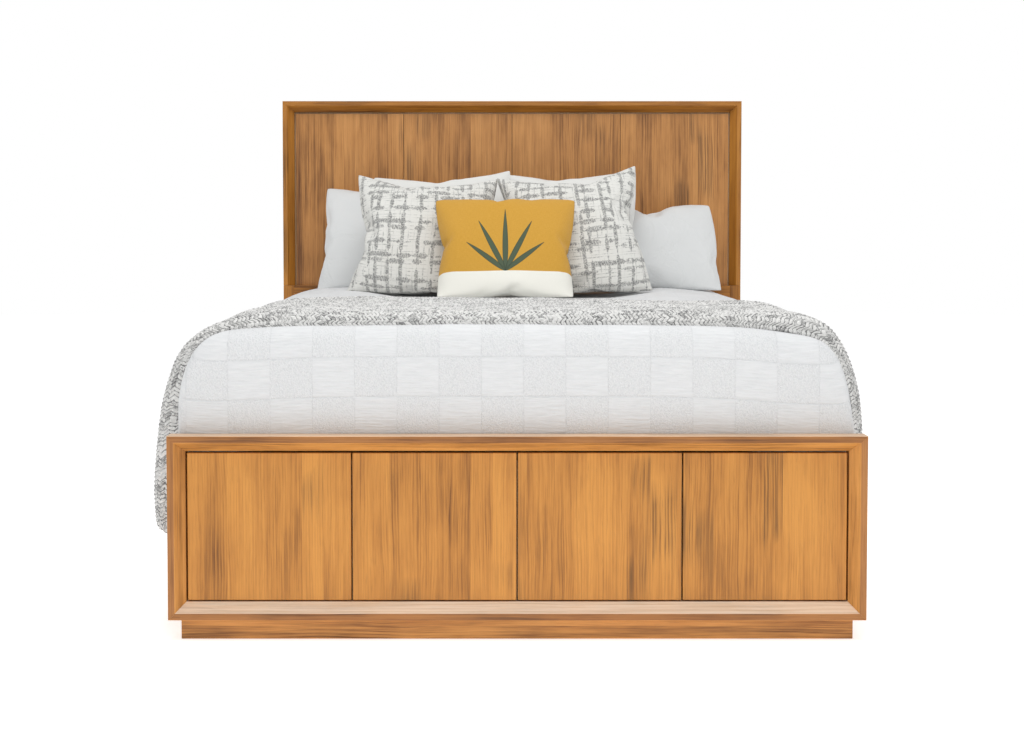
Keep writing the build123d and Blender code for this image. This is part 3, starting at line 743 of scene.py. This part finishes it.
round_yarn = times(tree, maths(tree, "POWER", along_loop, 0.55),
                   maths(tree, "POWER", maths(tree, "MULTIPLY_ADD", along_leg, 0.8, 0.2), 0.45))
ply_place = join(tree, maths(tree, "MULTIPLY_ADD", in_leg, 1.3, times(tree, leg_number, 7.1)),
                 times(tree, in_loop, 2.6), times(tree, loop_number, 3.7))
ply = noise_at(tree, ply_place, 2.2, 3.0, 0.65)
near_middle = maths(tree, "ABSOLUTE", maths(tree, "SUBTRACT", ply, 0.5))
thin_ply = spread(tree, near_middle, 0.012, 0.05, 1.0, 0.0)
dark_loop = spread(tree, maths(tree, "MULTIPLY_ADD", yarn_random.outputs[0], 0.34, ply), 0.74, 0.8)
broad = noise_at(tree, place, 9.0)
marled = times(tree, maths(tree, "MAXIMUM", times(tree, thin_ply, 0.35), dark_loop),
               maths(tree, "MULTIPLY_ADD", broad, 0.8, 0.3))
yarn_white = blend(tree, marled, (0.9, 0.895, 0.875, 1), (0.11, 0.112, 0.114, 1))
# painted shade: where the yarn rounds away between loops it is painted near black, deeper in some loops
# than in others
gap_shade = spread(tree, round_yarn, 0.16, 0.46, 1.0, 0.0)
gap_shade = times(tree, gap_shade, spread(tree, yarn_random.outputs[1], 0.35, 0.6, 0.12, 0.95))
yarn_colour = blend(tree, gap_shade, yarn_white, (0.045, 0.046, 0.048, 1))
tree.links.new(yarn_colour, surface.inputs["Base Color"])
twist = noise_at(tree, ply_place, 9.0)
yarn_height = maths(tree, "MULTIPLY_ADD", twist, 0.0009, times(tree, round_yarn, 0.0036))
loft = shade(tree, "Bump", {"Strength": 0.9, "Distance": 1.0, "Height": yarn_height})
tree.links.new(loft.outputs[0], surface.inputs["Normal"])
surface.inputs["Sheen Weight"].default_value = 0.25
surface.inputs["Sheen Roughness"].default_value = 0.6
surface.inputs["Specular IOR Level"].default_value = 0.15
throw_mesh.materials.append(marl)
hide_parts("throw")
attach(throw, "bed")

# ---- pillows ----------------------------------------------------------------------------
# Each pillow is a case cut as two panels and sewn round the edge with a narrow turned seam,
# then filled: the middle crowns, the sides pull in and the corners stay as ears. They lean in
# rows on the headboard and sit down into the bed at their lower edge.


def filled_case(name, width, height, cell, pressure, frames, creases, seed):
    """The mesh of a case of two panels sewn together, filled by cloth simulation."""
    case = bmesh.new()
    across, up = round(width / cell), round(height / cell)
    bmesh.ops.create_grid(case, x_segments=across, y_segments=up, size=0.5)
    panel = case.loops.layers.uv.new("cloth")
    for face in case.faces:
        for loop in face.loops:
            loop[panel].uv = (loop.vert.co.x * width, loop.vert.co.y * height)
    bmesh.ops.scale(case, vec=(width, height, 1), verts=case.verts)
    front_faces = list(case.faces)
    copied = bmesh.ops.duplicate(case, geom=[*case.verts, *case.edges, *case.faces])["geom"]
    back_faces = [g for g in copied if isinstance(g, bmesh.types.BMFace)]
    bmesh.ops.reverse_faces(case, faces=back_faces)
    for faces, way in ((front_faces, 1), (back_faces, -1)):
        for vertex in {v for f in faces for v in f.verts}:
            inside = (1 - abs(2 * vertex.co.x / width)) * (1 - abs(2 * vertex.co.y / height))
            ripple = noise.noise(Vector((vertex.co.x * 14, vertex.co.y * 14, way * 3 + seed)))
            vertex.co.z = way * min(1.0, 6 * inside) * 0.012 * (1 + creases * ripple)
    rim = [v for v in case.verts if v.is_boundary]
    bmesh.ops.remove_doubles(case, verts=rim, dist=1e-5)
    bmesh.ops.rotate(case, verts=case.verts, matrix=Matrix.Rotation(math.pi / 2, 3, "X"))
    flat_case = bpy.data.meshes.new(name + "_cut")
    case.to_mesh(flat_case)
    case.free()
    blown = new_piece(name + "_cut", flat_case)
    fabric = blown.modifiers.new("filling", "CLOTH")
    fabric.settings.quality = 5
    fabric.settings.mass = 0.25
    fabric.settings.tension_stiffness = 25
    fabric.settings.compression_stiffness = 25
    fabric.settings.shear_stiffness = 8
    fabric.settings.bending_stiffness = 0.6
    fabric.settings.air_damping = 4
    fabric.settings.use_pressure = True
    fabric.settings.uniform_pressure_force = pressure
    fabric.settings.effector_weights.gravity = 0
    fabric.point_cache.frame_start, fabric.point_cache.frame_end = 1, frames
    for step in range(1, frames + 1):
        bpy.context.scene.frame_set(step)
    shaped = bpy.data.meshes.new_from_object(blown.evaluated_get(bpy.context.evaluated_depsgraph_get()))
    bpy.context.scene.frame_set(1)
    bpy.data.objects.remove(blown)
    bpy.data.meshes.remove(flat_case)
    return shaped


bed_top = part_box("coverlet")[1][2] + 0.001


case_allowance = 1.06


def lean_pillow(node, mesh, width, height, thickness, lean, slump, pull, sag=0.0, roll=0.0,
                shift=0.0):
    """Brings a filled case to size, leans it where its node is, and lets it sit into the bed.

    sag lowers the middle of the top edge, roll turns the pillow anticlockwise in its own plane, and
    shift moves it to the right.
    """
    bottom_belly, side_fullness, settle_height = 0.040, 0.07, 0.09
    sunk, flattened = 0.030, 0.05
    low, high = (Vector(c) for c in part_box(node))
    middle = (low + high) / 2
    points = [v.co.copy() for v in mesh.vertices]
    reach = [max(p[k] for p in points) - min(p[k] for p in points) for k in range(3)]
    centre = [(max(p[k] for p in points) + min(p[k] for p in points)) / 2 for k in range(3)]
    tilt = Matrix.Rotation(-math.radians(lean), 3, "X")
    placed = []
    for point in points:
        x = (point.x - centre[0]) / reach[0] * width
        y = (point.y - centre[1]) / reach[1] * thickness
        z = (point.z - centre[2]) / reach[2] * height + height / 2
        up = z / height
        settle = math.exp(-z / settle_height)
        y *= 1 + slump * settle
        belly = max(0.0, 1 - (2 * x / width) ** 2)
        x *= 1 + pull * (0.5 - up) + side_fullness * (1 - (2 * up - 1) ** 2)
        z -= sag * belly * up ** 2 + bottom_belly * belly * (1 - up) ** 2
        turned = Matrix.Rotation(-math.radians(roll), 3, "Y") @ Vector((x, 0, z - height / 2))
        placed.append(tilt @ Vector((turned.x + shift, y, turned.z + height / 2)))
    mid_y = (max(p.y for p in placed) + min(p.y for p in placed)) / 2
    lowest = min(p.z for p in placed)
    for vertex, place in zip(mesh.vertices, placed):
        z = place.z - lowest - sunk
        z = z if z > flattened else flattened * math.exp(z / flattened - 1)
        vertex.co = (middle.x + place.x, middle.y + place.y - mid_y, bed_top + z)


def finish_pillow(node, name, mesh, material):
    """A smooth pillow piece with its fabric, standing for its node."""
    for face in mesh.polygons:
        face.use_smooth = True
    piece = new_piece(name, mesh)
    mesh.materials.clear()
    mesh.materials.append(material)
    smoothing = piece.modifiers.new("smooth", "SUBSURF")
    smoothing.levels = smoothing.render_levels = 1
    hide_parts(node)
    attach(piece, "bed")


def plain_cotton(name, colour):
    """Washed cotton percale with soft creases."""
    material, tree, surface = new_material(name, 0.8)
    place = shade(tree, "UVMap", uv_map="cloth").outputs[0]
    crease = shade(tree, "TexNoise", {"Vector": place, "Scale": 7.0, "Detail": 4.0, "Roughness": 0.55,
                                      "Distortion": 0.8}).outputs["Fac"]
    crease = maths(tree, "ABSOLUTE", maths(tree, "SUBTRACT", crease, 0.5))
    crease = spread(tree, crease, 0.0, 0.07, -0.0009, 0.0)
    weave_bump(tree, surface, 1100, 0.0001, 0.25, crease, coords="cloth")
    cloud = noise_at(tree, place, 5.0)
    shaded = blend(tree, cloud, (*[c * 0.94 for c in colour], 1), (*colour, 1))
    tree.links.new(shaded, surface.inputs["Base Color"])
    surface.inputs["Sheen Weight"].default_value = 0.15
    surface.inputs["Specular IOR Level"].default_value = 0.25
    return material


cool_white = plain_cotton("cool_white_cotton", (0.690, 0.703, 0.703))
warm_white = plain_cotton("warm_white_cotton", (0.755, 0.755, 0.73))
for node, width, height, thickness, lean, colour, seed, sag, roll, shift in (
        ("sleeping_pillow_left", 0.665, 0.462, 0.15, 28, cool_white, 1.0, -0.030, 0, 0.0),
        ("sleeping_pillow_right", 0.695, 0.385, 0.15, 28, cool_white, 2.0, -0.065, 0, 0.0),
        ("back_pillow_left", 0.51, 0.512, 0.13, 28, warm_white, 3.0, -0.005, 2, 0.010),
        ("back_pillow_right", 0.47, 0.525, 0.13, 28, warm_white, 4.0, 0.0, 0, -0.028)):
    case_mesh = filled_case(node, width * case_allowance, height * case_allowance, 0.016, 3.0, 20,
                            0.9, seed)
    lean_pillow(node, case_mesh, width, height, thickness, lean, 0.25, 0.05, sag, roll, shift)
    finish_pillow(node, "white_" + node, case_mesh, colour)


def brushed_print(name, seed):
    """Slubby off-white cotton with a crosshatch of broken grey brush strokes."""
    material, tree, surface = new_material(name, 0.9)
    place = shade(tree, "UVMap", uv_map="cloth").outputs[0]
    drift = shade(tree, "TexNoise", {"Vector": place, "Scale": 6.0}).outputs["Color"]
    drift = shade(tree, "VectorMath", {0: drift, 1: (0.5, 0.5, 0.5)}, operation="SUBTRACT").outputs[0]
    drift = shade(tree, "VectorMath", {0: drift, "Scale": 0.02}, operation="SCALE").outputs[0]
    moved = shade(tree, "VectorMath", {0: place, 1: drift}, operation="ADD").outputs[0]
    parts = shade(tree, "SeparateXYZ", {0: moved}).outputs

    def strokes(across, along, spacing, width, hair, breaks, offset):
        """Broken lines across one direction, with hairy edges."""
        fineness = 120.0 if hair < 0.003 else 45.0
        hairs = noise_at(tree, join(tree, times(tree, across, fineness), times(tree, along, 260.0),
                                    offset), 1.0)
        shifted = maths(tree, "MULTIPLY_ADD", hairs, hair * 2, across)
        line = shade(tree, "TexVoronoi", {"W": maths(tree, "ADD", shifted, offset),
                                          "Scale": 1 / spacing, "Randomness": 0.75},
                     voronoi_dimensions="1D").outputs
        distance = times(tree, line["Distance"], spacing)
        stroke = shade(tree, "SeparateColor", {0: line["Color"]}).outputs[0]
        pressed = noise_at(tree, join(tree, stroke, times(tree, along, 9.0), offset), 2.5, 3.0)
        pressed = spread(tree, pressed, breaks, breaks + 0.14)
        half = times(tree, pressed, width / 2)
        inside = spread(tree, maths(tree, "SUBTRACT", half, distance), -0.0008, 0.0014)
        dry = noise_at(tree, join(tree, times(tree, across, 130.0), times(tree, along, 330.0),
                                  offset + 5), 1.0, 2.0, 0.6)
        dry = spread(tree, dry, 0.4, 0.56, 0.22)
        return times(tree, inside, dry)

    ink = maths(tree, "MAXIMUM", strokes(parts[0], parts[1], 0.044, 0.0125, 0.0030, 0.37, 1.3 + seed),
                strokes(parts[1], parts[0], 0.039, 0.0170, 0.0065, 0.41, 4.1 + seed))
    thin = maths(tree, "MAXIMUM", strokes(parts[0], parts[1], 0.021, 0.0034, 0.0012, 0.49, 7.7 + seed),
                 strokes(parts[1], parts[0], 0.013, 0.0034, 0.0014, 0.46, 9.2 + seed))
    ink = maths(tree, "MAXIMUM", ink, times(tree, thin, 0.8))
    speckle = noise_at(tree, place, 620.0)
    ink = times(tree, ink, spread(tree, speckle, 0.36, 0.5, 0.35))
    slub = noise_at(tree, stretch(tree, place, (60, 500, 1)), 1.0)
    ground = blend(tree, slub, (0.68, 0.675, 0.64, 1), (0.81, 0.81, 0.775, 1))
    colour = blend(tree, ink, ground, (0.175, 0.177, 0.175, 1))
    tree.links.new(colour, surface.inputs["Base Color"])
    weave_bump(tree, surface, 520, 0.0003, 0.5, times(tree, slub, 0.0007), coords="cloth")
    surface.inputs["Sheen Weight"].default_value = 0.15
    surface.inputs["Specular IOR Level"].default_value = 0.2
    return material


for node, width, height, seed, sag, roll, shift in (
        ("patterned_pillow_left", 0.495, 0.490, 0.0, 0.018, -2.5, -0.012),
        ("patterned_pillow_right", 0.485, 0.500, 0.6, 0.020, 5.5, -0.008)):
    case_mesh = filled_case(node, width * case_allowance, height * case_allowance, 0.0155, 3.4, 20,
                            0.5, 7 + seed)
    lean_pillow(node, case_mesh, width, height, 0.155, 28, 0.2, -0.03, sag, roll, shift)
    finish_pillow(node, "printed_" + node, case_mesh, brushed_print(node + "_print", seed))

# ---- accent pillow ----------------------------------------------------------------------
# A smaller mustard linen pillow, screen-printed with a plain pale band along its lower edge and
# one even fan of dark-green leaves standing on the band.
mustard, tree, surface = new_material("mustard_linen", 0.88)
place = shade(tree, "UVMap", uv_map="cloth").outputs[0]
parts = shade(tree, "SeparateXYZ", {0: place}).outputs
slub = noise_at(tree, stretch(tree, place, (90, 600, 1)), 1.0)
warp_slub = noise_at(tree, stretch(tree, place, (600, 70, 1)), 1.0)
thread = maths(tree, "MULTIPLY_ADD", warp_slub, 0.5, times(tree, slub, 0.5))
yellow = blend(tree, thread, (0.52, 0.265, 0.028, 1), (0.71, 0.4, 0.07, 1))


def leaf_mask(base, angle, length, width):
    """1 inside a straight leaf that leaves base at an angle, and how deep inside its edge."""
    turned = shade(tree, "VectorRotate", {"Vector": place, "Center": (*base, 0), "Angle": -angle},
                   rotation_type="Z_AXIS").outputs[0]
    moved = shade(tree, "SeparateXYZ", {0: shade(tree, "VectorMath", {0: turned, 1: (*base, 0)},
                                                 operation="SUBTRACT").outputs[0]}).outputs
    along = maths(tree, "DIVIDE", moved[0], length)
    taper = times(tree, maths(tree, "POWER", maths(tree, "MAXIMUM", along, 0.0), 0.6),
                  maths(tree, "MAXIMUM", maths(tree, "SUBTRACT", 1.0, along), 0.0))
    half = maths(tree, "MULTIPLY_ADD", taper, width, 0.0009)
    inside = maths(tree, "SUBTRACT", half, maths(tree, "ABSOLUTE", moved[1]))
    ends = times(tree, maths(tree, "GREATER_THAN", along, 0.0), maths(tree, "LESS_THAN", along, 1.0))
    return (times(tree, spread(tree, inside, 0.0, 0.0007), ends), inside)


band_top = -0.105
pale_band = maths(tree, "LESS_THAN", parts[1], band_top)
leaves, rib = None, None
for angle, length in ((90, 0.22), (65, 0.20), (115, 0.20), (40, 0.16), (140, 0.16)):
    mask, inside = leaf_mask((0.0, band_top), math.radians(angle), length, 0.024)
    leaves = mask if leaves is None else maths(tree, "MAXIMUM", leaves, mask)
    edge = times(tree, mask, spread(tree, inside, 0.0006, 0.002, 1.0, 0.0))
    rib = edge if rib is None else maths(tree, "MAXIMUM", rib, edge)

printed = blend(tree, pale_band, yellow, (0.86, 0.85, 0.78, 1))
printed = blend(tree, leaves, printed, (0.085, 0.115, 0.072, 1))
printed = blend(tree, times(tree, rib, 0.8), printed, (0.018, 0.026, 0.022, 1))
tree.links.new(printed, surface.inputs["Base Color"])
weave_bump(tree, surface, 620, 0.0003, 0.5, times(tree, thread, 0.0006), coords="cloth")
surface.inputs["Sheen Weight"].default_value = 0.1
surface.inputs["Specular IOR Level"].default_value = 0.2
case_mesh = filled_case("accent_pillow", 0.50, 0.47, 0.015, 2.5, 17, 0.0, 9.0)
lean_pillow("accent_pillow", case_mesh, 0.455, 0.440, 0.13, 38, 0.15, -0.07, -0.035)
finish_pillow("accent_pillow", "mustard_accent_pillow", case_mesh, mustard)
